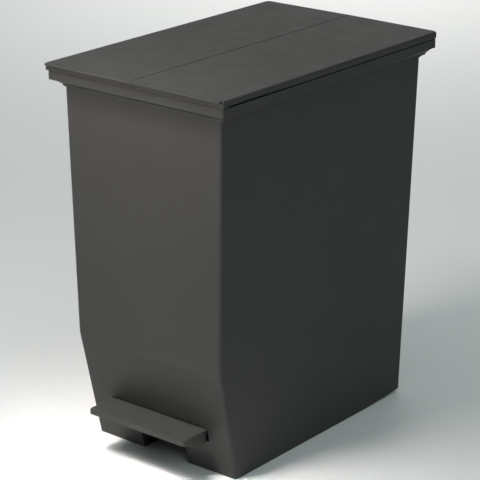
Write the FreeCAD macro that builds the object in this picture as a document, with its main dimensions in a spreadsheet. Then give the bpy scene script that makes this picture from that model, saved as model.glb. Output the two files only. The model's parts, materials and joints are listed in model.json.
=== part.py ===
"""Pedal bin with two side-hinged lids, worked by a pedal lever and a rear push rod.

Millimetres. X is to the right seen from the front, the front faces -Y, and Z is up.
The origin is on the floor, under the middle of the top frame.
"""
import FreeCAD
import Part
import Sketcher
import math
import os

VECTOR = FreeCAD.Vector

DIMENSIONS = {
    # Shared fits: a press fit, a running fit, a loose fit, a screw's clearance, how far a
    # rib or boss runs into what carries it, and how far a cut runs past a face.
    "press_gap": 0.02,
    "running_gap": 0.05,
    "fit_gap": 0.3,
    "screw_clearance": 0.15,
    "rooting": 0.4,
    "overrun": 1.0,
    "long_overrun": 5.0,
    # Top frame: outer band, coved skirt below it, gutter and collar inside it.
    "band_half_width": 135.0,
    "band_half_depth": 211.5,
    "band_bottom": 470.5,
    "band_top": 481.5,
    "band_radius": 3.5,
    "band_wall": 2.2,
    "band_edge_radius": 0.8,
    "skirt_bottom": 463.5,
    "skirt_wall": 2.4,
    "lip_half_width": 125.8,
    "lip_front": 197.9,
    "lip_back": 204.5,
    "gutter_underside": 469.0,
    "gutter_floor": 471.0,
    "gutter_corner": 1.5,
    "collar_half_width": 117.8,
    "collar_front": 194.3,
    "collar_back": 194.2,
    "collar_wall": 1.6,
    "collar_top": 478.0,
    "collar_bottom": 450.0,
    "collar_corner": 3.0,
    "ear_half_width": 5.5,
    "ear_wall": 3.0,
    "ear_drop": 0.6,
    "rod_hole_gap": 0.6,
    "trough_underside": 458.0,
    "trough_floor": 460.0,
    "mouth_back": 171.4,
    # Moulded body: drafted walls, a bend at the lower front, a raised floor and a skirt.
    "body_wall": 2.4,
    "base_half_width": 111.6,
    "base_front": 158.4,
    "base_back": 187.9,
    "bend_height": 146.0,
    "bend_front": 191.07,
    "bend_radius": 55.0,
    "side_draft": 0.020213,
    "back_draft": 0.020638,
    "front_draft": 0.020154,
    "corner_radius": 4.5,
    "foot_radius": 1.4,
    "flange_root": 0.5,
    "back_flange_slope": 2.4,
    "side_flange_slope": 1.9,
    "back_flange_bottom": 457.0,
    "side_flange_bottom": 460.0,
    "floor_underside": 70.0,
    "floor_top": 72.5,
    "floor_rooting": 0.8,
    "rise_start": 99.0,
    "rise_height": 4.8,
    "notch_half_width": 36.0,
    "notch_back": 146.4,
    "foot_wall_back": 100.0,
    "slot_half_width": 77.5,
    "slot_back": 163.5,
    "slot_bottom": 44.7,
    "slot_top": 62.8,
    "bracket_drop": 10.0,
    "bracket_low_half": 13.0,
    "bracket_high_half": 20.0,
    "fork_drop": 8.0,
    "fork_low_half": 9.0,
    "fork_high_half": 18.0,
    "fork_gap": 2.6,
    # Rear channel for the push rod.
    "channel_half_width": 22.0,
    "channel_floor": 173.5,
    "channel_bottom": 50.0,
    "channel_top": 456.0,
    "ridge_top": 457.5,
    "cover_thickness": 2.2,
    "cover_seat_depth": 1.3,
    "cover_screw_across": 15.0,
    "guide_height": 14.0,
    "guide_lower": 92.0,
    "guide_middle": 262.0,
    "guide_upper": 432.0,
    # Push rod, its shoe and the crossbar on top of it.
    "rod_half_width": 8.0,
    "rod_front": 176.0,
    "rod_back": 182.0,
    "rod_bottom": 50.0,
    "rod_top": 461.0,
    "shoe_radius": 4.8,
    "shoe_bottom": 44.3,
    "shoe_top": 58.0,
    "shoe_wall": 1.8,
    "groove_half_width": 4.5,
    "groove_depth": 1.6,
    "groove_low": 62.0,
    "groove_high": 445.0,
    "yoke_half_length": 115.9,
    "yoke_height": 9.0,
    "yoke_arch": 4.0,
    "yoke_shoulder": 18.0,
    "yoke_crown_half": 30.0,
    "yoke_screw_grip": 11.0,
    "yoke_screw_hole": 13.0,
    "pin_slot_end": 0.45,
    "pin_slot_travel": 4.7,
    "pin_slot_gap": 0.6,
    "pin_slot_corner": 2.2,
    # Lids.
    "lid_half_width": 136.5,
    "lid_half_depth": 213.1,
    "lid_half_gap": 0.3,
    "lid_front_depth": 213.2,
    "lid_lip_depth": 218.0,
    "lid_lip_bottom": 489.0,
    "lid_lip_half_width": 134.0,
    "lid_lip_root": 0.7,
    "lid_lip_corner": 1.5,
    "lid_top_seam": 491.9,
    "lid_top_edge": 491.2,
    "lid_underside": 489.2,
    "lid_front_bottom": 482.1,
    "lid_side_bottom": 483.1,
    "lid_side_bottom_front": 484.1,
    "lid_side_fall_start": 140.0,
    "lid_side_fall_end": 60.0,
    "lid_side_wall": 1.5,
    "lid_end_wall": 1.3,
    "lid_seam_wall": 1.6,
    "lid_edge_radius": 2.5,
    "lid_seam_radius": 0.9,
    "lid_lip_radius": 0.8,
    "lid_rear_radius": 7.0,
    "lid_front_radius": 1.2,
    "lid_hollow_corner": 2.0,
    "lid_step_width": 4.0,
    "lid_step_start": 8.0,
    "lid_rib_near": 34.0,
    "lid_rib_middle": 68.0,
    "lid_rib_far": 96.0,
    "lid_rib_half": 0.7,
    "lid_rib_depth": 3.0,
    "lid_cross_rib_pitch": 70.0,
    "hinge_across": 126.5,
    "hinge_height": 476.5,
    "arm_inner": 202.1,
    "arm_outer": 206.9,
    "arm_eye_radius": 4.2,
    "arm_inside": 11.0,
    "arm_outside": 4.6,
    "arm_side_gap": 0.4,
    "pin_radius": 2.0,
    "pin_head_radius": 3.2,
    "pin_head_length": 1.7,
    "pin_head_gap": 0.1,
    "pin_skin": 1.2,
    "pin_end_gap": 0.2,
    "crank_reach": 14.34,
    "crank_drop": 11.0,
    "crank_front": 183.0,
    "crank_back": 187.0,
    "crank_pin_radius": 1.8,
    "crank_eye_radius": 3.6,
    "crank_base_low": 485.0,
    "crank_base_high": 487.2,
    "crank_base_inner": 99.0,
    "crank_base_outer": 119.5,
    "crank_base_front": 180.0,
    "crank_base_back": 198.5,
    "crank_seat_margin": 1.0,
    "crank_flare": 6.0,
    "crank_flare_drop": 7.0,
    "crank_pin_overhang": 0.4,
    "gusset_depth": 3.0,
    "gusset_half": 0.8,
    "crank_screw_inner": 103.5,
    "crank_screw_outer": 115.0,
    "crank_screw_along": 193.5,
    "crank_screw_length": 5.4,
    "crank_screw_hole": 3.4,
    "bumper_across": 61.0,
    "bumper_along": 202.0,
    "bumper_radius": 4.0,
    "bumper_low": 480.0,
    "bumper_high": 486.0,
    "bumper_pad_radius": 5.0,
    "bumper_gap": 0.2,
    "post_margin": 2.0,
    # Pedal.
    "tread_half_width": 76.0,
    "tread_front": 216.0,
    "tread_back": 169.5,
    "tread_top": 61.5,
    "tread_plate": 3.0,
    "tread_lip_bottom": 54.8,
    "tread_skirt_bottom": 45.5,
    "tread_skirt_back": 173.0,
    "tread_skirt_corner": 193.0,
    "tread_wall": 3.0,
    "tread_corner_radius": 4.0,
    "tread_edge_radius": 1.2,
    "tread_rib_across": 51.0,
    "tread_rib_half": 1.0,
    "tread_rib_deep": 8.0,
    "tread_rib_shallow": 2.4,
    "neck_half_width": 27.0,
    "neck_front": 183.0,
    "neck_back": 138.0,
    "boss_radius": 4.0,
    "boss_height": 11.0,
    "boss_hole_top": 9.0,
    "tread_screw_across": 14.0,
    "tread_screw_along": 150.0,
    "tread_screw_length": 11.0,
    "lever_front": 164.0,
    "lever_back": 185.0,
    "lever_top": 44.0,
    "lever_bottom": 30.0,
    "lever_wall": 3.0,
    "lever_tip_half_width": 14.0,
    "lever_taper_start": 40.0,
    "lever_rib_half": 0.8,
    "lever_rib_rise": 2.0,
    "axle_height": 38.0,
    "axle_radius": 4.0,
    "lever_boss_radius": 7.5,
    "bracket_inner": 30.5,
    "bracket_wall": 3.0,
    "axle_overhang": 5.0,
    "axle_cap_wall": 2.4,
    "axle_cap_grip": 4.7,
    "axle_cap_end": 1.5,
    # Tilt-back wheels.
    "wheel_radius": 16.0,
    "wheel_width": 17.0,
    "wheel_inner": 83.0,
    "wheel_along": 160.0,
    "wheel_height": 16.5,
    "wheel_axle_radius": 3.0,
    "wheel_edge_radius": 2.0,
    "wheel_rim": 3.4,
    "wheel_hub": 3.2,
    "wheel_dish": 5.5,
    "wheel_axle_overhang": 2.6,
    "wheel_cap_wall": 2.0,
    "wheel_cap_grip": 2.4,
    "wheel_cap_end": 1.2,
    # Screws.
    "screw_radius": 1.5,
    "screw_head_radius": 2.8,
    "screw_head_height": 1.2,
    "screw_head_clearance": 0.2,
    "screw_length": 9.0,
    "screw_hole_spare": 2.0,
}

COVE_STEPS = 5
COVE_POWER = 1.5
LEVER_RIBS = (-80, 80, 130)

PARTS = []

document = FreeCAD.newDocument("pedal_bin")
sheet = document.addObject("Spreadsheet::Sheet", "dims")


class Size:
    """A number together with its formula over the cells of the sheet."""

    def __init__(self, value, formula):
        self.value = value
        self.formula = formula

    def combine(self, other, sign, value):
        return Size(value, f"({self.formula} {sign} {size(other).formula})")

    def __add__(self, other):
        return self.combine(other, "+", self.value + size(other).value)

    def __sub__(self, other):
        return self.combine(other, "-", self.value - size(other).value)

    def __mul__(self, other):
        return self.combine(other, "*", self.value * size(other).value)

    def __truediv__(self, other):
        return self.combine(other, "/", self.value / size(other).value)

    def __neg__(self):
        return Size(-self.value, f"(-1 * {self.formula})")

    def __radd__(self, other):
        return size(other) + self

    def __rsub__(self, other):
        return size(other) - self

    def __rmul__(self, other):
        return size(other) * self


def size(number):
    """Return a Size as it is, or wrap a plain number."""
    if isinstance(number, Size):
        return number
    return Size(float(number), repr(float(number)))


class Cells:
    """The driving dimensions, one attribute for each cell."""


def fill_sheet():
    """Write every driving dimension to the sheet and return the named sizes."""
    cells = Cells()
    for row, (name, value) in enumerate(DIMENSIONS.items(), start=1):
        sheet.set(f"A{row}", name)
        sheet.set(f"B{row}", str(value))
        sheet.setAlias(f"B{row}", name)
        setattr(cells, name, Size(value, f"<<dims>>.{name}"))
    document.recompute()
    return cells


D = fill_sheet()


# ---------------------------------------------------------------- PartDesign helpers

def body(label):
    """Start a body and list it as a sub-part."""
    new = document.addObject("PartDesign::Body", label)
    new.Label = label
    PARTS.append(new)
    return new


def sketch(owner, name, plane, level):
    """Open a sketch on one of the body's own planes, moved along its normal to a level."""
    new = owner.newObject("Sketcher::SketchObject", name)
    role = plane + "_Plane"
    support = [f for f in owner.Origin.OriginFeatures if f.Role == role][0]
    new.AttachmentSupport = (support, "")
    new.MapMode = "FlatFace"
    offset = -size(level) if plane == "XZ" else size(level)
    new.AttachmentOffset = FreeCAD.Placement(VECTOR(0, 0, offset.value), FreeCAD.Rotation())
    new.setExpression("AttachmentOffset.Base.z", offset.formula)
    return new


def volume(owner):
    """Return the body's volume so far, or zero for a body with nothing in it."""
    return 0.0 if owner.Shape.isNull() else owner.Shape.Volume


def fix_point(target, geometry, end, across, up, tag):
    """Hold one point of a sketch at two sizes measured from the origin."""
    for letter, place, axis in (("X", size(across), -2), ("Y", size(up), -1)):
        if abs(place.value) < 1e-9:
            target.addConstraint(Sketcher.Constraint("PointOnObject", geometry, end, axis))
            continue
        rule = Sketcher.Constraint("Distance" + letter, -1, 1, geometry, end, place.value)
        index = target.addConstraint(rule)
        target.renameConstraint(index, f"{tag}_{letter}")
        target.setExpression(f"Constraints.{tag}_{letter}", place.formula)


def draw_outline(target, points):
    """Draw a closed outline of straight lines through the given points."""
    first = target.GeometryCount
    count = len(points)
    places = [VECTOR(size(a).value, size(b).value, 0) for a, b in points]
    for i in range(count):
        target.addGeometry(Part.LineSegment(places[i], places[(i + 1) % count]), False)
    for i in range(count):
        after = first + (i + 1) % count
        target.addConstraint(Sketcher.Constraint("Coincident", first + i, 2, after, 1))
    for i, (across, up) in enumerate(points):
        fix_point(target, first + i, 1, across, up, f"p{first + i}")


def draw_circle(target, across, up, radius):
    """Draw a circle held by its centre and radius."""
    radius = size(radius)
    centre = VECTOR(size(across).value, size(up).value, 0)
    index = target.addGeometry(Part.Circle(centre, VECTOR(0, 0, 1), radius.value), False)
    fix_point(target, index, 3, across, up, f"c{index}")
    rule = target.addConstraint(Sketcher.Constraint("Radius", index, radius.value))
    target.renameConstraint(rule, f"c{index}_r")
    target.setExpression(f"Constraints.c{index}_r", radius.formula)


def draw_round_rectangle(target, low_x, high_x, low_y, high_y, radius):
    """Draw a rectangle with equal rounded corners, held by its four sides and its radius."""
    sides = [size(low_x), size(high_x), size(low_y), size(high_y)]
    left, right, front, back = (side.value for side in sides)
    radius = size(radius)
    r = radius.value
    start = target.GeometryCount
    lines = [
        (left + r, front, right - r, front),
        (right, front + r, right, back - r),
        (right - r, back, left + r, back),
        (left, back - r, left, front + r),
    ]
    centres = [
        (right - r, front + r, -90),
        (right - r, back - r, 0),
        (left + r, back - r, 90),
        (left + r, front + r, 180),
    ]
    for (xa, ya, xb, yb), (xc, yc, angle) in zip(lines, centres):
        target.addGeometry(Part.LineSegment(VECTOR(xa, ya, 0), VECTOR(xb, yb, 0)), False)
        circle = Part.Circle(VECTOR(xc, yc, 0), VECTOR(0, 0, 1), r)
        begin = math.radians(angle)
        arc = Part.ArcOfCircle(circle, begin, begin + math.pi / 2)
        target.addGeometry(arc, False)
    for i in range(4):
        line = start + 2 * i
        arc = line + 1
        following = start + (2 * i + 2) % 8
        target.addConstraint(Sketcher.Constraint("Tangent", line, 2, arc, 1))
        target.addConstraint(Sketcher.Constraint("Tangent", arc, 2, following, 1))
        kind = "Horizontal" if i % 2 == 0 else "Vertical"
        target.addConstraint(Sketcher.Constraint(kind, line))
        if i:
            target.addConstraint(Sketcher.Constraint("Equal", start + 1, arc))
    index = target.addConstraint(Sketcher.Constraint("Radius", start + 1, r))
    target.renameConstraint(index, f"r{start}")
    target.setExpression(f"Constraints.r{start}", radius.formula)
    holds = [("Y", 0, sides[2]), ("X", 2, sides[1]), ("Y", 4, sides[3]), ("X", 6, sides[0])]
    for letter, step, place in holds:
        rule = Sketcher.Constraint("Distance" + letter, -1, 1, start + step, 1, place.value)
        index = target.addConstraint(rule)
        target.renameConstraint(index, f"side{start + step}")
        target.setExpression(f"Constraints.side{start + step}", place.formula)


def draw_rectangle(target, low_x, high_x, low_y, high_y, radius):
    """Draw a rectangle, with rounded corners unless the radius is zero."""
    if size(radius).value > 0:
        draw_round_rectangle(target, low_x, high_x, low_y, high_y, radius)
        return
    corners = [(low_x, low_y), (high_x, low_y), (high_x, high_y), (low_x, high_y)]
    draw_outline(target, corners)


def extrude(owner, name, plane, low, high, draw, adds=True):
    """Add or cut a prism between two levels along the plane's normal.

    draw is a list of (function, arguments) that fills the sketch.
    """
    level = high if plane == "XZ" else low
    outline = sketch(owner, name + "_sketch", plane, level)
    for function, arguments in draw:
        function(outline, *arguments)
    kind = "PartDesign::Pad" if adds else "PartDesign::Pocket"
    feature = owner.newObject(kind, name)
    feature.Profile = outline
    feature.Reversed = not adds
    length = size(high) - size(low)
    feature.Length = length.value
    feature.setExpression("Length", length.formula)
    if hasattr(feature, "Refine"):
        feature.Refine = True
    before = volume(owner)
    document.recompute()
    change = feature.Shape.Volume - before
    if adds == (change < 0) or abs(change) < 1e-3:
        raise RuntimeError(f"{owner.Label}: {name} changed the volume by {change:.3f}")
    return feature


def add_box(owner, name, xs, ys, zs):
    """Add a block between six sizes."""
    corners = [(xs[0], ys[0]), (xs[1], ys[0]), (xs[1], ys[1]), (xs[0], ys[1])]
    return extrude(owner, name, "XY", zs[0], zs[1], [(draw_outline, [corners])])


def cut_box(owner, name, xs, ys, zs):
    """Cut a block between six sizes."""
    corners = [(xs[0], ys[0]), (xs[1], ys[0]), (xs[1], ys[1]), (xs[0], ys[1])]
    return extrude(owner, name, "XY", zs[0], zs[1], [(draw_outline, [corners])], False)


def loft(owner, name, sections, adds=True):
    """Loft through rounded rectangles given as (level, half width, front, back, radius)."""
    outlines = []
    for i, (level, half_width, front, back, radius) in enumerate(sections):
        outline = sketch(owner, f"{name}_section{i}", "XY", level)
        sides = (-size(half_width), half_width, -size(front), back)
        draw_rectangle(outline, *sides, radius)
        outlines.append(outline)
    kind = "PartDesign::AdditiveLoft" if adds else "PartDesign::SubtractiveLoft"
    feature = owner.newObject(kind, name)
    feature.Profile = outlines[0]
    feature.Sections = outlines[1:]
    feature.Ruled = True
    before = volume(owner)
    document.recompute()
    change = feature.Shape.Volume - before
    if adds == (change < 0) or abs(change) < 1e-3:
        raise RuntimeError(f"{owner.Label}: {name} changed the volume by {change:.3f}")
    return feature


def round_edges(owner, name, radius, chosen):
    """Fillet every edge of the body that the test chooses."""
    base = owner.Tip
    names = [f"Edge{i}" for i, e in enumerate(base.Shape.Edges, start=1) if chosen(e)]
    if not names:
        raise RuntimeError(f"{owner.Label}: {name} found no edge")
    feature = owner.newObject("PartDesign::Fillet", name)
    feature.Base = (base, names)
    feature.Radius = size(radius).value
    feature.setExpression("Radius", size(radius).formula)
    document.recompute()
    if feature.Shape.isNull() or not feature.Shape.isValid():
        raise RuntimeError(f"{owner.Label}: {name} failed on {len(names)} edges")
    return feature


def near(value, target, tolerance=0.01):
    """Say whether a coordinate is at a size."""
    return abs(value - size(target).value) < tolerance


def ends(edge):
    """Return the lowest and highest corner of an edge's box."""
    box = edge.BoundBox
    return box.XMin, box.XMax, box.YMin, box.YMax, box.ZMin, box.ZMax


# ---------------------------------------------------------------- Part helpers

def bind(target, **formulas):
    """Bind properties of an object to sizes; a double underscore stands for a dot."""
    for name, formula in formulas.items():
        target.setExpression(name.replace("__", "."), size(formula).formula)


def cylinder(name, axis, radius, low, high, first, second):
    """Make a cylinder along an axis between two levels, at two places across it."""
    new = document.addObject("Part::Cylinder", name)
    turns = {
        "X": FreeCAD.Rotation(VECTOR(0, 1, 0), 90),
        "Y": FreeCAD.Rotation(VECTOR(1, 0, 0), -90),
        "Z": FreeCAD.Rotation(),
    }
    new.Placement = FreeCAD.Placement(VECTOR(0, 0, 0), turns[axis])
    places = {"X": (low, first, second), "Y": (first, low, second), "Z": (first, second, low)}
    across, along, up = places[axis]
    bind(new, Radius=radius, Height=size(high) - size(low))
    bind(new, Placement__Base__x=across, Placement__Base__y=along, Placement__Base__z=up)
    return new


def fuse(name, *pieces):
    """Join overlapping pieces into one."""
    new = document.addObject("Part::MultiFuse", name)
    new.Shapes = list(pieces)
    return new


def subtract(name, base, tool):
    """Cut one piece from another."""
    new = document.addObject("Part::Cut", name)
    new.Base = base
    new.Tool = tool
    return new


def group(label, pieces):
    """Put separate identical solids in one sub-part."""
    new = document.addObject("Part::Compound", label)
    new.Label = label
    new.Links = list(pieces)
    PARTS.append(new)
    return new


def single(label, piece):
    """List one piece as a sub-part under its own label."""
    piece.Label = label
    PARTS.append(piece)
    return piece


def screw(name, axis, head_at, direction, first, second, length=None):
    """Make a pan-head screw with a cross recess; its shank runs from the head along direction."""
    length = size(length or D.screw_length)
    head_at = size(head_at)
    head_end = head_at - D.screw_head_height * direction
    tip = head_at + length * direction
    head_span = (head_end, head_at) if direction > 0 else (head_at, head_end)
    shank_span = (head_at, tip) if direction > 0 else (tip, head_at)
    head = cylinder(name + "_head", axis, D.screw_head_radius, *head_span, first, second)
    shank = cylinder(name + "_shank", axis, D.screw_radius, *shank_span, first, second)
    whole = fuse(name + "_blank", head, shank)
    slots = []
    for turn in range(2):
        slot = document.addObject("Part::Box", f"{name}_slot{turn}")
        long_side = D.screw_head_radius * 1.2
        short_side = D.screw_head_radius * 0.25
        depth = D.screw_head_height * 0.6
        low = head_end - depth * 0.1 if direction > 0 else head_end - depth
        spans = [(low, depth * 1.1)]
        for side in ((long_side, short_side), (short_side, long_side))[turn]:
            spans.append((-side / 2, side))
        centres = [size(0), size(first), size(second)]
        order = {"X": (0, 1, 2), "Y": (1, 0, 2), "Z": (1, 2, 0)}[axis]
        starts = [spans[i][0] + centres[i] for i in order]
        sides = [spans[i][1] for i in order]
        bind(slot, Length=sides[0], Width=sides[1], Height=sides[2])
        bind(slot, Placement__Base__x=starts[0], Placement__Base__y=starts[1])
        bind(slot, Placement__Base__z=starts[2])
        slots.append(slot)
    return subtract(name, whole, fuse(name + "_cross", *slots))


# ---------------------------------------------------------------- shape of the body

def side_at(level):
    """Half width of the body's outside at a height."""
    return D.base_half_width + D.side_draft * size(level)


def back_at(level):
    """Distance of the body's back wall behind the origin at a height."""
    return D.base_back + D.back_draft * size(level)


def front_at(level):
    """Distance of the body's front wall before the origin at a height."""
    if size(level).value >= D.bend_height.value:
        return D.bend_front + D.front_draft * (size(level) - D.bend_height)
    return D.base_front + (D.bend_front - D.base_front) * size(level) / D.bend_height


def shell_section(level, inset, radius):
    """One level of the body's form, moved inwards by an inset."""
    inset = size(inset)
    sides = (side_at(level) - inset, front_at(level) - inset, back_at(level) - inset)
    return (level, *sides, radius)


def make_bin_body():
    """The moulded body: walls, raised floor, skirt, feet, flange and rear channel."""
    part = body("bin_body")
    rim = D.skirt_bottom
    levels = [size(0), D.bend_height, rim]
    for i, (low, high) in enumerate(zip(levels, levels[1:])):
        loft(part, f"form{i}", [shell_section(low, 0, 0), shell_section(high, 0, 0)])
    width = D.base_half_width.value
    round_edges(part, "bend", D.bend_radius, lambda e: (
        near(ends(e)[4], D.bend_height) and near(ends(e)[5], D.bend_height)
        and near(ends(e)[2], -D.bend_front, 0.2) and ends(e)[1] - ends(e)[0] > width))
    round_edges(part, "corners", D.corner_radius, lambda e: (
        ends(e)[5] - ends(e)[4] > 5 and ends(e)[1] - ends(e)[0] < 12))
    round_edges(part, "foot_edge", D.foot_radius, lambda e: (
        near(ends(e)[5], 0) and ends(e)[3] - ends(e)[2] < 1 and ends(e)[2] < 0))
    make_rim_flange(part)
    make_hollows(part)
    make_ribs(part)
    make_rear_channel(part)
    make_pedal_opening(part)
    make_rear_rise(part)
    return part


def make_rim_flange(part):
    """A lip round the rim, deep at the back, shallow at the sides and flush at the front."""
    steps = (
        (D.back_flange_bottom, 0, 0),
        (D.back_flange_bottom + D.back_flange_slope, 0, 1),
        (D.side_flange_bottom, 0, 1),
        (D.side_flange_bottom + D.side_flange_slope, 1, 1),
        (D.skirt_bottom, 1, 1),
    )
    sections = []
    for level, side_out, back_out in steps:
        side = D.lip_half_width if side_out else side_at(level) - D.flange_root
        front = D.lip_front if side_out else front_at(level) - D.flange_root
        back = D.lip_back if back_out else back_at(level) - D.flange_root
        sections.append((level, side, front, back, D.corner_radius))
    loft(part, "flange", sections)


def make_hollows(part):
    """The bin's cavity above the floor, and the space inside the skirt below it."""
    wall = D.body_wall
    inner = D.corner_radius - wall
    lower = [shell_section(D.floor_top, wall, inner), shell_section(D.bend_height, wall, inner)]
    upper = [
        shell_section(D.bend_height, wall, inner),
        shell_section(D.skirt_bottom + D.overrun, wall, inner),
    ]
    under = [shell_section(0, wall, inner), shell_section(D.floor_underside, wall, inner)]
    loft(part, "cavity_upper", upper, False)
    loft(part, "cavity_lower", lower, False)
    loft(part, "skirt_space", under, False)


def mirrored_prism(part, name, inner, wall, outline):
    """Add the same upright rib at both sides."""
    for side in (-1, 1):
        low = inner if side > 0 else -(inner + wall)
        side_name = "right" if side > 0 else "left"
        draw = [(draw_outline, [outline])]
        extrude(part, f"{name}_{side_name}", "YZ", low, low + wall, draw)


def bracket_outline(centre, low, high, name):
    """The outline of a rib under the floor that narrows downwards to hold an axle."""
    narrow = getattr(D, f"{name}_low_half")
    wide = getattr(D, f"{name}_high_half")
    return [
        (centre - narrow, low),
        (centre + narrow, low),
        (centre + wide, high),
        (centre - wide, high),
    ]


def make_ribs(part):
    """Ribs under the floor: inner walls of the feet, lever brackets and wheel forks."""
    wall = D.body_wall
    top = D.floor_underside + D.floor_rooting
    mid = wall / 2
    foot = [
        (-(front_at(0) - mid), 0),
        (-D.foot_wall_back, 0),
        (-D.foot_wall_back, top),
        (-(front_at(top) - mid), top),
    ]
    mirrored_prism(part, "foot_wall", D.notch_half_width, wall, foot)
    bracket = bracket_outline(0, D.axle_height - D.bracket_drop, top, "bracket")
    mirrored_prism(part, "bracket", D.bracket_inner, D.bracket_wall, bracket)
    centre = D.wheel_along
    fork = bracket_outline(centre, D.wheel_height - D.fork_drop, top, "fork")
    outer = D.wheel_inner + D.wheel_width + D.fork_gap
    mirrored_prism(part, "fork_inner", D.wheel_inner - D.fork_gap - wall, wall, fork)
    mirrored_prism(part, "fork_outer", outer, wall, fork)
    hole = D.axle_radius + D.press_gap
    reach = D.bracket_inner + D.bracket_wall + D.overrun
    draw = [(draw_circle, [0, D.axle_height, hole])]
    extrude(part, "axle_holes", "YZ", -reach, reach, draw, False)
    hole = D.wheel_axle_radius + D.press_gap
    reach = outer + wall + D.overrun
    draw = [(draw_circle, [centre, D.wheel_height, hole])]
    extrude(part, "wheel_axle_holes", "YZ", -reach, reach, draw, False)


def make_rear_channel(part):
    """A hollow ridge on the inside of the back wall, open to the back for the push rod."""
    half = D.channel_half_width
    wall = D.body_wall
    face = D.channel_floor - wall
    low = D.floor_underside + D.floor_rooting
    ridge = [
        (face, low),
        (face, D.ridge_top),
        (back_at(D.ridge_top) - wall / 2, D.ridge_top),
        (back_at(D.floor_underside) - wall / 2, low),
    ]
    extrude(part, "ridge", "YZ", -half - wall, half + wall, [(draw_outline, [ridge])])
    outside = D.lip_back + D.overrun
    inside = back_at(D.ridge_top) - wall
    above = D.ridge_top + D.overrun
    channel = [
        (D.channel_floor, D.channel_bottom),
        (D.channel_floor, above),
        (inside, above),
        (inside, D.channel_top),
        (outside, D.channel_top),
        (outside, D.channel_bottom),
    ]
    extrude(part, "channel", "YZ", -half, half, [(draw_outline, [channel])], False)


def make_pedal_opening(part):
    """A wide slot for the tread over a narrow notch for its lever."""
    outside = -(D.bend_front + D.long_overrun)
    half = D.slot_half_width
    spans = ((-half, half), (outside, -D.slot_back), (D.slot_bottom, D.slot_top))
    cut_box(part, "slot", *spans)
    half = D.notch_half_width
    levels = (-D.overrun, D.slot_bottom + D.overrun)
    spans = ((-half, half), (outside, -D.notch_back), levels)
    cut_box(part, "notch", *spans)


def make_rear_rise(part):
    """The skirt's bottom edge rises towards the back, with a rounded rear corner."""
    back = D.base_back + D.long_overrun
    slope = D.rise_height / (D.base_back - D.rise_start)
    wedge = [
        (D.rise_start, -D.overrun),
        (D.rise_start, 0),
        (back, slope * (back - D.rise_start)),
        (back, -D.overrun),
    ]
    reach = D.base_half_width + D.long_overrun
    extrude(part, "rise", "YZ", -reach, reach, [(draw_outline, [wedge])], False)


# ---------------------------------------------------------------- top frame

def make_top_frame():
    """The band round the mouth, with its coved skirt, gutter, collar and rear trough."""
    part = body("top_frame")
    radius = D.band_radius
    width, depth = D.band_half_width, D.band_half_depth
    band = [(draw_round_rectangle, [-width, width, -depth, depth, radius])]
    extrude(part, "band", "XY", D.band_bottom, D.band_top, band)
    cove = [math.sin(math.pi / 2 * i / COVE_STEPS) for i in range(COVE_STEPS + 1)]
    fall = D.band_bottom - D.skirt_bottom
    sections = [
        (
            D.band_bottom - fall * inwards ** COVE_POWER,
            width - (width - D.lip_half_width) * inwards,
            depth - (depth - D.lip_front) * inwards,
            depth - (depth - D.lip_back) * inwards,
            radius,
        )
        for inwards in cove
    ]
    loft(part, "cove", sections[::-1])
    round_edges(part, "band_edges", D.band_edge_radius, lambda e: near(ends(e)[4], D.band_top))
    make_collar(part)
    make_gutter(part)
    make_pin_ears(part)
    make_bumper_posts(part)
    return part


def make_collar(part):
    """The tube that drops into the body's mouth, closed off at the rear by a trough."""
    half, front, back = D.collar_half_width, D.collar_front, D.collar_back
    wall, past = D.collar_wall, D.overrun
    whole = [(draw_round_rectangle, [-half, half, -front, back, D.collar_corner])]
    extrude(part, "collar", "XY", D.trough_underside, D.skirt_bottom + past, whole)
    middle = D.mouth_back - D.rooting
    ahead = [(draw_outline, [[
        (-half, -front), (half, -front), (half, middle), (-half, middle),
    ]])]
    extrude(part, "collar_skirt", "XY", D.collar_bottom, D.trough_underside + past, ahead)
    above = D.band_top + past
    inner = half - wall
    spans = ((-inner, inner), (-(front - wall), D.mouth_back), (D.collar_bottom - past, above))
    cut_box(part, "mouth", *spans)
    spans = ((-inner, inner), (D.mouth_back + wall, back - wall), (D.trough_floor, above))
    cut_box(part, "trough", *spans)
    gap = D.rod_hole_gap
    rod = D.rod_half_width + gap
    ys = (D.rod_front - gap, D.rod_back + gap)
    spans = ((-rod, rod), ys, (D.trough_underside - past, above))
    cut_box(part, "rod_hole", *spans)


def make_gutter(part):
    """A gutter between band and collar, and a hollow under it that sits on the body's rim."""
    half, front, back = D.collar_half_width, D.collar_front, D.collar_back
    above = D.band_top + D.overrun
    outer = D.band_half_width - D.band_wall
    ends_at = D.band_half_depth - D.band_wall
    island = (draw_rectangle, [-half, half, -front, back, D.collar_corner])
    ring = [
        (draw_rectangle, [-outer, outer, -ends_at, ends_at, D.gutter_corner]),
        island,
    ]
    extrude(part, "gutter", "XY", D.gutter_floor, above, ring, False)
    wall = D.skirt_wall
    low = D.skirt_bottom - D.overrun
    sides = (D.lip_half_width - wall, D.lip_front - wall, D.lip_back - wall)
    ring = [
        (draw_rectangle, [-sides[0], sides[0], -sides[1], sides[2], D.gutter_corner]),
        island,
    ]
    extrude(part, "rim_seat", "XY", low, D.gutter_underside, ring, False)
    half, front, back = half + D.overrun, front + D.overrun, back + D.overrun
    spans = ((-half, half), (-front, back), (D.collar_top, above))
    cut_box(part, "collar_height", *spans)


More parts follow.
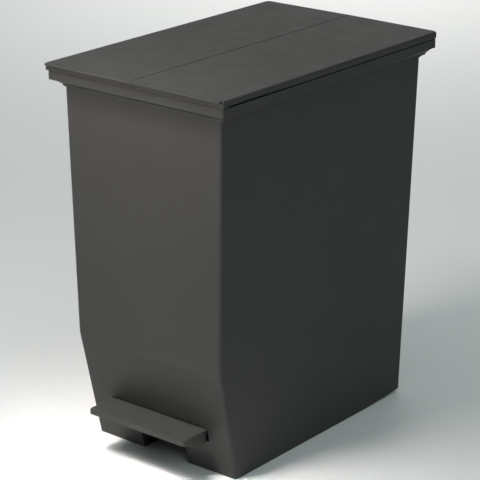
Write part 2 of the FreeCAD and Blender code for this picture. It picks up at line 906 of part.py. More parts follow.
def make_pin_ears(part):
    """Ears for the four hinge pins, in the gutter at the front and rear."""
    out = D.band_half_width - D.band_wall + D.rooting
    levels = (D.gutter_floor - D.rooting, D.band_top - D.ear_drop)
    wall = D.band_half_depth - D.band_wall
    near_arm = D.arm_inner - D.arm_side_gap
    radius = D.pin_radius + D.press_gap
    for side in (-1, 1):
        xs = ordered(side, D.hinge_across - D.ear_half_width, out)
        for end in (-1, 1):
            word = f"{side_word(side)}_{end_word(end)}"
            ear = ordered(end, near_arm - D.ear_wall, near_arm)
            boss = ordered(end, D.arm_outer + D.arm_side_gap, wall + D.rooting)
            add_box(part, f"ear_{word}", xs, ear, levels)
            add_box(part, f"wall_boss_{word}", xs, boss, levels)
            start = near_arm - D.ear_wall - D.overrun
            reach = ordered(end, start, D.band_half_depth - D.pin_skin)
            draw = [(draw_circle, [side * D.hinge_across, D.hinge_height, radius])]
            extrude(part, f"pin_hole_{word}", "XZ", *reach, draw, False)


def make_bumper_posts(part):
    """Posts in the gutter that carry the rubber bumpers."""
    half = D.bumper_radius + D.post_margin
    for side in (-1, 1):
        centre = side * D.bumper_across
        for end in (-1, 1):
            inner = D.collar_back if end > 0 else D.collar_front
            outer = D.band_half_depth - D.band_wall + D.rooting
            ys = ordered(end, inner - D.rooting, outer)
            zs = (D.gutter_floor - D.rooting, D.bumper_low)
            name = f"post_{side_word(side)}_{end_word(end)}"
            add_box(part, name, (centre - half, centre + half), ys, zs)


def side_word(side):
    return "right" if side > 0 else "left"


def end_word(end):
    return "rear" if end > 0 else "front"


def ordered(side, low, high):
    """Return a span on the right, or its mirror image on the left."""
    return (size(low), size(high)) if side > 0 else (-size(high), -size(low))


# ---------------------------------------------------------------- lids and their cranks

def make_lid(side):
    """One lid: a sloped plate with walls, ribs, two hinge arms and a pad for its crank."""
    part = body(f"lid_{side_word(side)}")
    gap, edge = D.lid_half_gap, D.lid_half_width
    front, back, low = -D.lid_front_depth, D.lid_half_depth, D.lid_front_bottom
    profile = [
        (side * gap, low),
        (side * edge, low),
        (side * edge, D.lid_top_edge),
        (side * gap, D.lid_top_seam),
    ]
    extrude(part, "plate", "XZ", front, back, [(draw_outline, [profile])])
    outer = side * edge.value
    top = D.lid_top_edge.value - 0.01
    for name, radius, end in (
        ("rear_corner", D.lid_rear_radius, back),
        ("front_corner", D.lid_front_radius, front),
    ):
        round_edges(part, name, radius, lambda e: (
            near(ends(e)[0], outer) and near(ends(e)[1], outer) and near(ends(e)[2], end)
            and near(ends(e)[3], end)))
    seam = side * gap.value
    round_edges(part, "top_edge", D.lid_edge_radius, lambda e: (
        ends(e)[4] > top and ends(e)[3] > front.value + 1
        and not (near(ends(e)[0], seam) and near(ends(e)[1], seam))))
    make_lid_lip(part, side)
    round_edges(part, "seam_edge", D.lid_seam_radius, lambda e: (
        near(ends(e)[0], seam) and near(ends(e)[1], seam) and ends(e)[3] - ends(e)[2] > 100
        and ends(e)[4] > top))
    make_lid_hollow(part, side)
    make_lid_fittings(part, side)
    return part


def make_lid_lip(part, side):
    """A thin lip that carries the lid's top forward of its front wall, as a finger hold."""
    gap, edge, seam_top = D.lid_half_gap, D.lid_lip_half_width, D.lid_top_seam
    fall = (seam_top - D.lid_top_edge) / (D.lid_half_width - gap)
    profile = [
        (side * gap, D.lid_lip_bottom),
        (side * edge, D.lid_lip_bottom),
        (side * edge, seam_top - fall * (edge - gap)),
        (side * gap, seam_top),
    ]
    front = -D.lid_lip_depth
    span = (front, D.lid_lip_root - D.lid_front_depth)
    extrude(part, "lip", "XZ", *span, [(draw_outline, [profile])])
    tip = side * edge.value
    round_edges(part, "lip_corner", D.lid_lip_corner, lambda e: (
        near(ends(e)[0], tip) and near(ends(e)[1], tip) and near(ends(e)[2], front)
        and near(ends(e)[3], front)))
    round_edges(part, "lip_edge", D.lid_lip_radius, lambda e: (
        ends(e)[4] > D.lid_top_edge.value - 0.01 and near(ends(e)[2], front)
        and near(ends(e)[3], front)))


def make_lid_hollow(part, side):
    """Hollow the lid from below and step its edge up along the side and back.

    The gap under the side edge is wider near the front, where fingers lift the lid.
    """
    depth = D.lid_half_depth
    xs = ordered(side, D.lid_half_gap + D.lid_seam_wall, D.lid_half_width - D.lid_side_wall)
    ys = (D.lid_end_wall - D.lid_front_depth, depth - D.lid_end_wall)
    hollow = [(draw_rectangle, [*xs, *ys, D.lid_hollow_corner])]
    low = D.lid_front_bottom - D.overrun
    extrude(part, "hollow", "XY", low, D.lid_underside, hollow, False)
    width, outside = D.lid_step_width, D.lid_half_width + D.overrun
    front, back = D.lid_step_start - D.lid_front_depth, depth + D.overrun
    step = [
        (front, low),
        (front, D.lid_side_bottom_front),
        (-D.lid_side_fall_start, D.lid_side_bottom_front),
        (-D.lid_side_fall_end, D.lid_side_bottom),
        (back, D.lid_side_bottom),
        (back, low),
    ]
    xs = ordered(side, D.lid_half_width - width, outside)
    extrude(part, "side_step", "YZ", *xs, [(draw_outline, [step])], False)
    xs = ordered(side, D.lid_half_gap - D.overrun, outside)
    ys = (depth - width, depth + D.overrun)
    cut_box(part, "rear_step", xs, ys, (low, D.lid_side_bottom_front))


def make_lid_ribs(part, side):
    """Stiffening ribs along and across a lid's underside."""
    levels = (D.lid_underside - D.lid_rib_depth, D.lid_underside + D.rooting)
    half = D.lid_rib_half
    inside = D.lid_end_wall - D.rooting
    reach = (inside - D.lid_front_depth, D.lid_half_depth - inside)
    for i, across in enumerate((D.lid_rib_near, D.lid_rib_middle, D.lid_rib_far)):
        xs = ordered(side, across - half, across + half)
        add_box(part, f"rib{i}", xs, reach, levels)
    inner = D.lid_half_gap + D.lid_seam_wall - D.rooting
    xs = ordered(side, inner, D.lid_half_width - D.lid_side_wall + D.rooting)
    for i in range(-2, 3):
        along = i * D.lid_cross_rib_pitch
        add_box(part, f"cross_rib{i + 2}", xs, (along - half, along + half), levels)


def make_lid_fittings(part, side):
    """Hinge arms, bumper pads and the crank's seat on a lid's underside."""
    top = D.lid_underside + D.rooting
    make_lid_ribs(part, side)
    hinge, height, eye = D.hinge_across, D.hinge_height, D.arm_eye_radius
    neck = [
        (side * (hinge - D.arm_inside), top),
        (side * (hinge - D.arm_outside), top),
        (side * (hinge - D.arm_outside), height + eye),
        (side * hinge, height + eye),
        (side * hinge, height - eye),
        (side * (hinge - eye), height - eye),
        (side * (hinge - D.arm_inside), height + eye / 2),
    ]
    for end in (-1, 1):
        ys = ordered(end, D.arm_inner, D.arm_outer)
        word = end_word(end)
        extrude(part, f"arm_{word}", "XZ", *ys, [(draw_outline, [neck])])
        circle = [(draw_circle, [side * hinge, height, eye])]
        extrude(part, f"eye_{word}", "XZ", *ys, circle)
        hole = [(draw_circle, [side * hinge, height, D.pin_radius + D.running_gap])]
        extrude(part, f"hole_{word}", "XZ", *ys, hole, False)
        place = (side * D.bumper_across, end * D.bumper_along)
        pad = [(draw_circle, [*place, D.bumper_pad_radius])]
        extrude(part, f"bumper_pad_{word}", "XY", D.bumper_high + D.bumper_gap, top, pad)
    margin = D.crank_seat_margin
    xs = ordered(side, D.crank_base_inner - margin, D.crank_base_outer + margin)
    ys = (D.crank_base_front - margin, D.crank_base_back + margin)
    add_box(part, "crank_seat", xs, ys, (D.crank_base_high, top))
    for i, across in enumerate(crank_screw_places(side)):
        hole = [(draw_circle, [across, D.crank_screw_along, D.screw_radius + D.press_gap])]
        levels = (D.crank_base_high - D.rooting, D.crank_base_high + D.crank_screw_hole)
        extrude(part, f"screw_hole{i}", "XY", *levels, hole, False)


def crank_screw_places(side):
    """Where the two screws of a crank stand across the lid."""
    return [side * D.crank_screw_inner, side * D.crank_screw_outer]


def make_crank(side):
    """The crank: a base screwed to the lid, and a blade down to the crank pin."""
    part = body(f"crank_{side_word(side)}")
    xs = ordered(side, D.crank_base_inner, D.crank_base_outer)
    ys = (D.crank_base_front, D.crank_base_back)
    add_box(part, "base", xs, ys, (D.crank_base_low, D.crank_base_high))
    pin_x = D.hinge_across - D.crank_reach
    pin_z = D.hinge_height - D.crank_drop
    eye = D.crank_eye_radius
    root = D.crank_base_low + D.rooting
    flare = D.crank_base_low - D.crank_flare_drop
    blade = [
        (side * (pin_x - eye), pin_z),
        (side * (pin_x + eye), pin_z),
        (side * (pin_x + eye), root),
        (side * (pin_x - eye - D.crank_flare), root),
        (side * (pin_x - eye), flare),
    ]
    ys = (D.crank_front, D.crank_back)
    extrude(part, "blade", "XZ", *ys, [(draw_outline, [blade])])
    extrude(part, "eye", "XZ", *ys, [(draw_circle, [side * pin_x, pin_z, eye])])
    hole = [(draw_circle, [side * pin_x, pin_z, D.crank_pin_radius + D.press_gap])]
    extrude(part, "pin_hole", "XZ", *ys, hole, False)
    gusset = [
        (D.crank_back - D.rooting, root),
        (D.crank_back - D.rooting, flare),
        (D.crank_back + D.gusset_depth, root),
    ]
    xs = ordered(side, pin_x - D.gusset_half, pin_x + D.gusset_half)
    extrude(part, "gusset", "YZ", *xs, [(draw_outline, [gusset])])
    for i, across in enumerate(crank_screw_places(side)):
        radius = D.screw_radius + D.screw_clearance
        hole = [(draw_circle, [across, D.crank_screw_along, radius])]
        span = (D.crank_base_low - D.overrun, D.crank_base_high + D.overrun)
        extrude(part, f"screw_hole{i}", "XY", *span, hole, False)
    return part


def make_crank_hardware(side):
    """The crank's pin and its two screws."""
    word = side_word(side)
    pin_x = side * (D.hinge_across - D.crank_reach)
    pin_z = D.hinge_height - D.crank_drop
    ys = (D.rod_front - D.crank_pin_overhang, D.crank_back + D.crank_pin_overhang)
    pin = cylinder(f"crank_pin_{word}", "Y", D.crank_pin_radius, *ys, pin_x, pin_z)
    single(f"crank_pin_{word}", pin)
    along, length = D.crank_screw_along, D.crank_screw_length
    screws = [
        screw(f"crank_screw{i}_{word}", "Z", D.crank_base_low, 1, across, along, length)
        for i, across in enumerate(crank_screw_places(side))
    ]
    group(f"crank_screws_{word}", screws)


def make_hinge_pins():
    """Four headed steel pins, one for each hinge arm."""
    for side in (-1, 1):
        for end in (-1, 1):
            name = f"hinge_pin_{end_word(end)}_{side_word(side)}"
            place = (side * D.hinge_across, D.hinge_height)
            face = D.arm_inner - D.arm_side_gap - D.ear_wall - D.pin_head_gap
            tip = D.band_half_depth - D.pin_skin - D.pin_end_gap
            shank_span = ordered(end, face - D.rooting, tip)
            head_span = ordered(end, face - D.pin_head_length, face)
            shank = cylinder(name + "_shank", "Y", D.pin_radius, *shank_span, *place)
            head = cylinder(name + "_head", "Y", D.pin_head_radius, *head_span, *place)
            single(name, fuse(name, shank, head))


def make_bumpers():
    """Four rubber bumpers that the lids close on."""
    bumpers = []
    for side in (-1, 1):
        for end in (-1, 1):
            name = f"bumper_{end_word(end)}_{side_word(side)}"
            place = (side * D.bumper_across, end * D.bumper_along)
            span = (D.bumper_low, D.bumper_high)
            bumpers.append(cylinder(name, "Z", D.bumper_radius, *span, *place))
    group("lid_bumpers", bumpers)


# ---------------------------------------------------------------- push rod and its channel

def make_push_rod():
    """The upright rod, grooved on both faces, with a hole for the yoke's screw."""
    part = body("push_rod")
    half = D.rod_half_width
    add_box(part, "bar", (-half, half), (D.rod_front, D.rod_back), (D.rod_bottom, D.rod_top))
    xs = (-D.groove_half_width, D.groove_half_width)
    zs = (D.groove_low, D.groove_high)
    past, depth = D.overrun, D.groove_depth
    cut_box(part, "groove_front", xs, (D.rod_front - past, D.rod_front + depth), zs)
    cut_box(part, "groove_rear", xs, (D.rod_back - depth, D.rod_back + past), zs)
    middle = (D.rod_front + D.rod_back) / 2
    hole = [(draw_circle, [0, middle, D.screw_radius + D.press_gap])]
    levels = (D.rod_top - D.yoke_screw_hole, D.rod_top + past)
    extrude(part, "screw_hole", "XY", *levels, hole, False)
    return part


def make_rod_foot():
    """The rounded shoe on the rod's lower end."""
    part = body("rod_foot")
    middle = (D.rod_front + D.rod_back) / 2
    reach = D.rod_half_width + D.shoe_wall
    centre = D.shoe_bottom + D.shoe_radius
    radius = D.shoe_radius
    round_end = [(draw_circle, [middle, centre, radius])]
    extrude(part, "round_end", "YZ", -reach, reach, round_end)
    ys = (middle - radius, middle + radius)
    add_box(part, "sleeve", (-reach, reach), ys, (centre, D.shoe_top))
    gap = D.press_gap
    half = D.rod_half_width + gap
    ys = (D.rod_front - gap, D.rod_back + gap)
    cut_box(part, "socket", (-half, half), ys, (D.rod_bottom, D.shoe_top + D.overrun))
    return part


def make_yoke():
    """The crossbar on the rod, with a slot at each end for a crank pin."""
    part = body("lift_yoke")
    length, low = D.yoke_half_length, D.rod_top
    high = low + D.yoke_height
    crown, crown_half = high + D.yoke_arch, D.yoke_crown_half
    shoulder = length - D.yoke_shoulder
    outline = [
        (-length, low), (length, low), (length, high), (shoulder, high),
        (crown_half, crown), (-crown_half, crown), (-shoulder, high), (-length, high),
    ]
    ys = (D.rod_front, D.rod_back)
    extrude(part, "bar", "XZ", *ys, [(draw_outline, [outline])])
    middle = D.hinge_height - D.crank_drop
    far = D.hinge_across - D.crank_reach + D.crank_pin_radius + D.pin_slot_end
    near_end = far - D.crank_pin_radius * 2 - D.pin_slot_travel
    half = D.crank_pin_radius + D.pin_slot_gap
    for side in (-1, 1):
        xs = ordered(side, near_end, far)
        corner = D.pin_slot_corner
        slot = [(draw_rectangle, [*xs, middle - half, middle + half, corner])]
        extrude(part, f"slot_{side_word(side)}", "XZ", *ys, slot, False)
    centre = (D.rod_front + D.rod_back) / 2
    hole = [(draw_circle, [0, centre, D.screw_radius + D.screw_clearance])]
    extrude(part, "screw_hole", "XY", low - D.overrun, crown + D.overrun, hole, False)
    return part


def make_rod_guides():
    """Three guide blocks in the channel; the rod slides through them."""
    half = D.channel_half_width - D.fit_gap
    for name in ("lower", "middle", "upper"):
        part = body(f"rod_guide_{name}")
        low = getattr(D, f"guide_{name}")
        high = low + D.guide_height
        front = D.channel_floor + D.fit_gap
        skin = D.cover_thickness + D.running_gap
        outline = [
            (front, low), (back_at(low) - skin, low), (back_at(high) - skin, high), (front, high),
        ]
        extrude(part, "block", "YZ", -half, half, [(draw_outline, [outline])])
        reach = D.rod_half_width + D.fit_gap
        ys = (D.rod_front - D.fit_gap, D.rod_back + D.fit_gap)
        zs = (low - D.overrun, high + D.overrun)
        cut_box(part, "rod_way", (-reach, reach), ys, zs)
        middle = low + D.guide_height / 2
        for side in (-1, 1):
            across = side * D.cover_screw_across
            hole = [(draw_circle, [across, middle, D.screw_radius + D.press_gap])]
            ys = (back_at(middle) - D.screw_length - D.screw_hole_spare, back_at(middle))
            extrude(part, f"screw_hole_{side_word(side)}", "XZ", *ys, hole, False)


def make_rear_cover():
    """The plate that closes the channel, flush with the back wall, and its screws."""
    part = body("rear_cover")
    half = D.channel_half_width - D.fit_gap
    low, high = D.channel_bottom + D.fit_gap, D.channel_top - D.fit_gap
    skin = D.cover_thickness
    outline = [
        (back_at(low) - skin, low), (back_at(low), low), (back_at(high), high),
        (back_at(high) - skin, high),
    ]
    extrude(part, "plate", "YZ", -half, half, [(draw_outline, [outline])])
    screws = []
    for name in ("lower", "middle", "upper"):
        middle = getattr(D, f"guide_{name}") + D.guide_height / 2
        face = back_at(middle)
        seat = face - D.cover_seat_depth
        outside = face + D.overrun
        for side in (-1, 1):
            across = side * D.cover_screw_across
            word = f"{name}_{side_word(side)}"
            hole = [(draw_circle, [across, middle, D.screw_radius + D.screw_clearance])]
            inside = face - skin - D.overrun
            extrude(part, f"hole_{word}", "XZ", inside, outside, hole, False)
            radius = D.screw_head_radius + D.screw_head_clearance
            sink = [(draw_circle, [across, middle, radius])]
            extrude(part, f"sink_{word}", "XZ", seat, outside, sink, False)
            screws.append(screw(f"cover_screw_{word}", "Y", seat, -1, across, middle))
    group("rear_cover_screws", screws)


def make_yoke_screw():
    """The screw that holds the yoke on the rod."""
    middle = (D.rod_front + D.rod_back) / 2
    top = D.rod_top + D.yoke_height + D.yoke_arch
    length = D.yoke_height + D.yoke_arch + D.yoke_screw_grip
    single("yoke_screw", screw("yoke_screw", "Z", top, -1, 0, middle, length))


# ---------------------------------------------------------------- pedal

def make_tread():
    """The tread: a plate with a front lip, wedge-shaped sides, ribs and a hollow neck."""
    part = body("pedal_tread")
    half, top = D.tread_half_width, D.tread_top
    front, back = -D.tread_front, -D.tread_back
    under = top - D.tread_plate
    wall = D.tread_wall
    profile = [
        (front, D.tread_lip_bottom),
        (front, top),
        (back, top),
        (back, under),
        (-D.tread_skirt_back, under),
        (-D.tread_skirt_back, D.tread_skirt_bottom),
        (-D.tread_skirt_corner, D.tread_skirt_bottom),
    ]
    extrude(part, "form", "YZ", -half, half, [(draw_outline, [profile])])
    round_edges(part, "front_corners", D.tread_corner_radius, lambda e: (
        near(ends(e)[2], front) and near(ends(e)[3], front) and ends(e)[5] - ends(e)[4] > 3
        and ends(e)[1] - ends(e)[0] < 1))
    round_edges(part, "top_edges", D.tread_edge_radius, lambda e: (
        near(ends(e)[4], top) and near(ends(e)[5], top) and ends(e)[2] < back.value - 0.1))
    xs = (-half + wall, half - wall)
    ys = (front + wall, D.overrun - D.tread_skirt_back)
    cut_box(part, "hollow", xs, ys, (D.tread_skirt_bottom - D.overrun, under))
    tip, root = front + wall - D.rooting, under + D.rooting
    rib = [
        (tip, root),
        (-D.tread_skirt_back, root),
        (-D.tread_skirt_back, under - D.tread_rib_deep),
        (tip, under - D.tread_rib_shallow),
    ]
    inner = D.tread_rib_across - D.tread_rib_half
    mirrored_prism(part, "rib", inner, D.tread_rib_half * 2, rib)
    make_neck(part, under)
    return part


def make_neck(part, under):
    """The hollow neck that passes through the body's slot and sits on the lever."""
    half, wall = D.neck_half_width, D.lever_wall
    floor = D.lever_top
    front, back = -D.neck_front, -D.neck_back
    add_box(part, "neck", (-half, half), (front, back), (floor, D.tread_top))
    inner = half - wall
    spans = ((-inner, inner), (front + wall, back + D.overrun), (floor + wall, under))
    cut_box(part, "neck_hollow", *spans)
    for side in (-1, 1):
        word = side_word(side)
        place = (side * D.tread_screw_across, -D.tread_screw_along)
        boss = [(draw_circle, [*place, D.boss_radius])]
        levels = (floor + wall - D.rooting, floor + D.boss_height)
        extrude(part, f"boss_{word}", "XY", *levels, boss)
        hole = [(draw_circle, [*place, D.screw_radius + D.press_gap])]
        levels = (floor - D.overrun, floor + D.boss_hole_top)
        extrude(part, f"boss_hole_{word}", "XY", *levels, hole, False)


def make_lever():
    """The long lever: a tray-shaped channel with a cross tube for the axle."""
    part = body("pedal_lever")
    half, tip = D.neck_half_width, D.lever_tip_half_width
    front, start, back = -D.lever_front, D.lever_taper_start, D.lever_back
    wall = D.lever_wall

    def plan(inset):
        return [
            (-half + inset, front + inset), (half - inset, front + inset),
            (half - inset, start), (tip - inset, back - inset),
            (-tip + inset, back - inset), (-half + inset, start),
        ]

    levels = (D.lever_bottom, D.lever_top)
    extrude(part, "form", "XY", *levels, [(draw_outline, [plan(size(0))])])
    levels = (D.lever_bottom - D.overrun, D.lever_top - wall)
    extrude(part, "hollow", "XY", *levels, [(draw_outline, [plan(wall)])], False)
    reach = D.bracket_inner - D.fit_gap
    tube = [(draw_circle, [0, D.axle_height, D.lever_boss_radius])]
    extrude(part, "tube", "YZ", -reach, reach, tube)
    bore = [(draw_circle, [0, D.axle_height, D.axle_radius + D.running_gap])]
    reach = reach + D.overrun
    extrude(part, "bore", "YZ", -reach, reach, bore, False)
    levels = (D.lever_bottom + D.lever_rib_rise, D.lever_top - wall + D.rooting)
    for i, along in enumerate(LEVER_RIBS):
        ys = (along - D.lever_rib_half, along + D.lever_rib_half)
        taper = (half - tip) / (back - start)
        width = half if along < start.value else half - taper * (ys[1] - start)
        width = width - wall + D.rooting
        add_box(part, f"rib{i}", (-width, width), ys, levels)
    for side in (-1, 1):
        place = (side * D.tread_screw_across, -D.tread_screw_along)
        hole = [(draw_circle, [*place, D.screw_radius + D.screw_clearance])]
        levels = (D.lever_top - wall - D.overrun, D.lever_top + D.overrun)
        extrude(part, f"screw_hole_{side_word(side)}", "XY", *levels, hole, False)
    return part


def make_pedal_hardware():
    """The tread's screws, the lever's axle and the caps on its ends."""
    seat = D.lever_top - D.lever_wall
    screws = []
    for side in (-1, 1):
        place = (side * D.tread_screw_across, -D.tread_screw_along)
        name = f"tread_screw_{side_word(side)}"
        screws.append(screw(name, "Z", seat, 1, *place, D.tread_screw_length))
    group("tread_screws", screws)
    end = D.bracket_inner + D.bracket_wall + D.axle_overhang
    axle = cylinder("pedal_axle", "X", D.axle_radius, -end, end, 0, D.axle_height)
    single("pedal_axle", axle)
    span = (end - D.axle_cap_grip, end + D.axle_cap_end, end)
    radii = (D.axle_radius, D.axle_cap_wall)
    make_caps("pedal_axle_caps", *radii, *span, 0, D.axle_height)


def make_caps(label, radius, wall, inner, outer, axle_end, along, height):
    """A pair of push-on caps over the ends of an axle."""
    caps = []
    for side in (-1, 1):
        name = f"{label}_{side_word(side)}"
        blank_span = ordered(side, inner, outer)
        bore_span = ordered(side, inner - D.overrun, axle_end + D.running_gap)
        blank = cylinder(name + "_blank", "X", radius + wall, *blank_span, along, height)
        bore = cylinder(name + "_bore", "X", radius + D.press_gap, *bore_span, along, height)
        caps.append(subtract(name, blank, bore))
    group(label, caps)


# ---------------------------------------------------------------- wheels

def make_wheels():
    """Two hollow-faced wheels on one steel axle, with a cap on each end."""
    along, height = D.wheel_along, D.wheel_height
    for side in (-1, 1):
        word = side_word(side)
        part = body(f"wheel_{word}")
        span = ordered(side, D.wheel_inner, D.wheel_inner + D.wheel_width)
        rim = [(draw_circle, [along, height, D.wheel_radius])]
        extrude(part, "rim", "YZ", *span, rim)
        round_edges(part, "tread_edges", D.wheel_edge_radius, lambda e: True)
        dish = [
            (draw_circle, [along, height, D.wheel_radius - D.wheel_rim]),
            (draw_circle, [along, height, D.wheel_axle_radius + D.wheel_hub]),
        ]
        depth, whole = D.wheel_dish, (span[0] - D.overrun, span[1] + D.overrun)
        extrude(part, "dish_low", "YZ", whole[0], span[0] + depth, dish, False)
        extrude(part, "dish_high", "YZ", span[1] - depth, whole[1], dish, False)
        bore = [(draw_circle, [along, height, D.wheel_axle_radius + D.running_gap])]
        extrude(part, "bore", "YZ", *whole, bore, False)
    fork = D.wheel_inner + D.wheel_width + D.fork_gap + D.body_wall
    end = fork + D.wheel_axle_overhang
    axle = cylinder("wheel_axle", "X", D.wheel_axle_radius, -end, end, along, height)
    single("wheel_axle", axle)
    span = (end - D.wheel_cap_grip, end + D.wheel_cap_end, end)
    radii = (D.wheel_axle_radius, D.wheel_cap_wall)
    make_caps("wheel_axle_caps", *radii, *span, along, height)


# ---------------------------------------------------------------- whole object

def check_document():
    """Stop if any object failed or any sub-part has no valid shape."""
    document.recompute()
    for item in document.Objects:
        if "Invalid" in item.State or "Error" in item.State:
            raise RuntimeError(f"{item.Name} failed: {item.State}")
    for part in PARTS:
        if part.Shape.isNull() or not part.Shape.isValid():
            raise RuntimeError(f"{part.Label} has no valid shape")
    labels = [part.Label for part in PARTS]
    if len(set(labels)) != len(labels):
        raise RuntimeError("two sub-parts share a label")


def export_parts():
    """Write one STEP file for each sub-part."""
    os.makedirs("parts", exist_ok=True)
    for part in PARTS:
        part.Shape.exportStep(f"parts/{part.Label}.step")
        box = part.Shape.BoundBox
        print(f"{part.Label:24s} solids {len(part.Shape.Solids)}"
              f" volume {part.Shape.Volume / 1000:8.2f} cm3"
              f" z {box.ZMin:7.2f} to {box.ZMax:7.2f}")


make_bin_body()
make_top_frame()
for lid_side in (-1, 1):
    make_lid(lid_side)
    make_crank(lid_side)
    make_crank_hardware(lid_side)
make_hinge_pins()
make_bumpers()
make_push_rod()
make_rod_foot()
make_yoke()
make_yoke_screw()
make_rod_guides()
make_rear_cover()
make_tread()
make_lever()
make_pedal_hardware()
make_wheels()
check_document()
export_parts()
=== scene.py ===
import json
import math

import bpy
from mathutils import Matrix, Vector

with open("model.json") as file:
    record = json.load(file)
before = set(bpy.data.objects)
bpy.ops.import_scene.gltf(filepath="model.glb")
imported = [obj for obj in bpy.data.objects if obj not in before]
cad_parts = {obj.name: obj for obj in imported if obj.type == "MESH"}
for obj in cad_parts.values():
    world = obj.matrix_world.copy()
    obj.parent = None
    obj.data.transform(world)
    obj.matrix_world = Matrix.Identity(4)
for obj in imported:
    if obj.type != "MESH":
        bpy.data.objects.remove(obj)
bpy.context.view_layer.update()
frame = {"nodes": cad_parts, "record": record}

nodes = frame["nodes"]
scene = bpy.context.scene
scene.view_settings.view_transform = "Standard"

# ---------------------------------------------------------------- camera

CAMERA_AT = Vector((1.4917, -1.8661, 1.0912))
CAMERA_AZIMUTH = math.radians(38.85)
CAMERA_ELEVATION = math.radians(19.61)
CAMERA_ROLL = math.radians(0.2)
SENSOR_MM = 36.0
LENS_MM = 150.73
CLIP_END = 50


def make_camera():
    """The camera at the photograph's viewing angle."""
    data = bpy.data.cameras.new("camera")
    data.sensor_width = SENSOR_MM
    data.lens = LENS_MM
    data.clip_end = CLIP_END
    camera = bpy.data.objects.new("camera", data)
    scene.collection.objects.link(camera)
    turn = Matrix.Rotation(CAMERA_AZIMUTH, 4, "Z")
    tilt = Matrix.Rotation(math.pi / 2 - CAMERA_ELEVATION, 4, "X")
    roll = Matrix.Rotation(CAMERA_ROLL, 4, "Z")
    camera.matrix_world = Matrix.Translation(CAMERA_AT) @ turn @ tilt @ roll
    scene.camera = camera


# ---------------------------------------------------------------- light and floor

SKY_COLOUR = (0.88, 1.0, 1.0)
SKY_LEVEL = 0.48
# Heights in the sky are 0 at the horizon and 1 overhead. The glow along the horizon fades out
# at the first; the light overhead begins at the second and is full from the third.
GLOW_END = 0.12
SKY_START = 0.3
SKY_FULL = 0.75

WARM = (1.0, 0.96, 0.935)
WARMER = (1.0, 0.9, 0.88)
COOL = (0.8, 1.0, 0.98)
# Each lamp: its place, what it faces, its side, its beam in degrees, its watts, its colour.
LAMPS = {
    "key": ((-0.3, -0.8, 1.35), (0, -0.1, 0.3), 0.5, 180, 10.6, WARM),
    "front": ((-0.45, -1.5, 0.8), (0, -0.1, 0.66), 0.6, 30, 1.1, WARMER),
    "low": ((-0.15, -0.9, 1.75), (0, -0.23, 0.05), 0.4, 18, 0.5, WARM),
    "side": ((1.6, -0.9, 1.2), (0, -0.1, 0.3), 0.8, 120, 2.3, COOL),
    "back": ((-1.6, 2.1, 1.3), (0, -0.1, 0.3), 1.6, 180, 3.4, WARM),
    "backdrop": ((-1.6, 2.9, 1.4), (-1.5, 2.0, 0), 1.5, 90, 7.0, WARM),
}

FLOOR_HALF = 9.0
FLOOR_COLOUR = (0.93, 0.925, 0.92)
FLOOR_ROUGHNESS = 0.7


def area_light(name, place, target, side, beam, power, colour):
    """A soft square lamp that faces a target."""
    data = bpy.data.lights.new(name, "AREA")
    data.shape = "SQUARE"
    data.size = side
    data.spread = math.radians(beam)
    data.energy = power
    data.color = colour
    lamp = bpy.data.objects.new(name, data)
    scene.collection.objects.link(lamp)
    way = Vector(target) - Vector(place)
    turn = way.to_track_quat("-Z", "Y").to_matrix().to_4x4()
    lamp.matrix_world = Matrix.Translation(place) @ turn


def make_world():
    """A sky that is bright overhead and along the horizon, and black between."""
    world = bpy.data.worlds.new("studio")
    world.use_nodes = True
    tree = world.node_tree
    background = tree.nodes["Background"]
    background.inputs["Strength"].default_value = SKY_LEVEL
    place = tree.nodes.new("ShaderNodeTexCoord")
    split = tree.nodes.new("ShaderNodeSeparateXYZ")
    ramp = tree.nodes.new("ShaderNodeValToRGB")
    tree.links.new(place.outputs["Generated"], split.inputs["Vector"])
    tree.links.new(split.outputs["Z"], ramp.inputs["Fac"])
    tree.links.new(ramp.outputs["Color"], background.inputs["Color"])
    glow, high = ramp.color_ramp.elements
    glow.position, high.position = 0, SKY_FULL
    glow.color = high.color = (*SKY_COLOUR, 1)
    for height in (GLOW_END, SKY_START):
        ramp.color_ramp.elements.new(height).color = (0, 0, 0, 1)
    scene.world = world


def make_light():
    """The sky and the lamps."""
    make_world()
    for name, settings in LAMPS.items():
        area_light(name, *settings)


def make_floor():
    """A plain pale floor."""
    half = FLOOR_HALF
    mesh = bpy.data.meshes.new("floor")
    corners = [(-half, -half, 0), (half, -half, 0), (half, half, 0), (-half, half, 0)]
    mesh.from_pydata(corners, [], [(0, 1, 2, 3)])
    floor = bpy.data.objects.new("floor", mesh)
    scene.collection.objects.link(floor)
    paint = Paint("floor_paint")
    paint.surface(base=FLOOR_COLOUR, roughness=FLOOR_ROUGHNESS)
    mesh.materials.append(paint.material)


# ---------------------------------------------------------------- materials

EVEN = (1, 1, 1)
# Each pattern of noise: its waves in a metre, its detail, its roughness, its stretch by axis.
PATTERNS = {
    "cloud": (7, 3.0, 0.5, EVEN),
    "fleck": (900, 2.0, 0.5, EVEN),
    "wear": (55, 4.0, 0.5, EVEN),
    "marks": (26, 5.0, 0.6, (1.0, 9.0, 1.6)),
    "gloss": (38, 4.0, 0.5, EVEN),
    "grain": (1500, 3.0, 0.6, EVEN),
    "waves": (11, 2.0, 0.5, EVEN),
    "plating": (240, 4.0, 0.5, EVEN),
    "plating_gloss": (420, 3.0, 0.5, EVEN),
    "drawn_lines": (900, 2.0, 0.5, (6, 1, 1)),
    "dust": (300, 4.0, 0.5, EVEN),
    "rubber_gloss": (500, 2.0, 0.5, EVEN),
    "pits": (1800, 2.0, 0.5, EVEN),
}

# Part of a pattern's range that is stretched out to the whole of a new range.
MIDDLE = (0.3, 0.7)
FLECK_PART = (0.35, 0.75)
MARK_PART = (0.62, 0.78)
DUST_PART = (0.4, 0.8)
EDGE_PART = (0.75, 0.99)

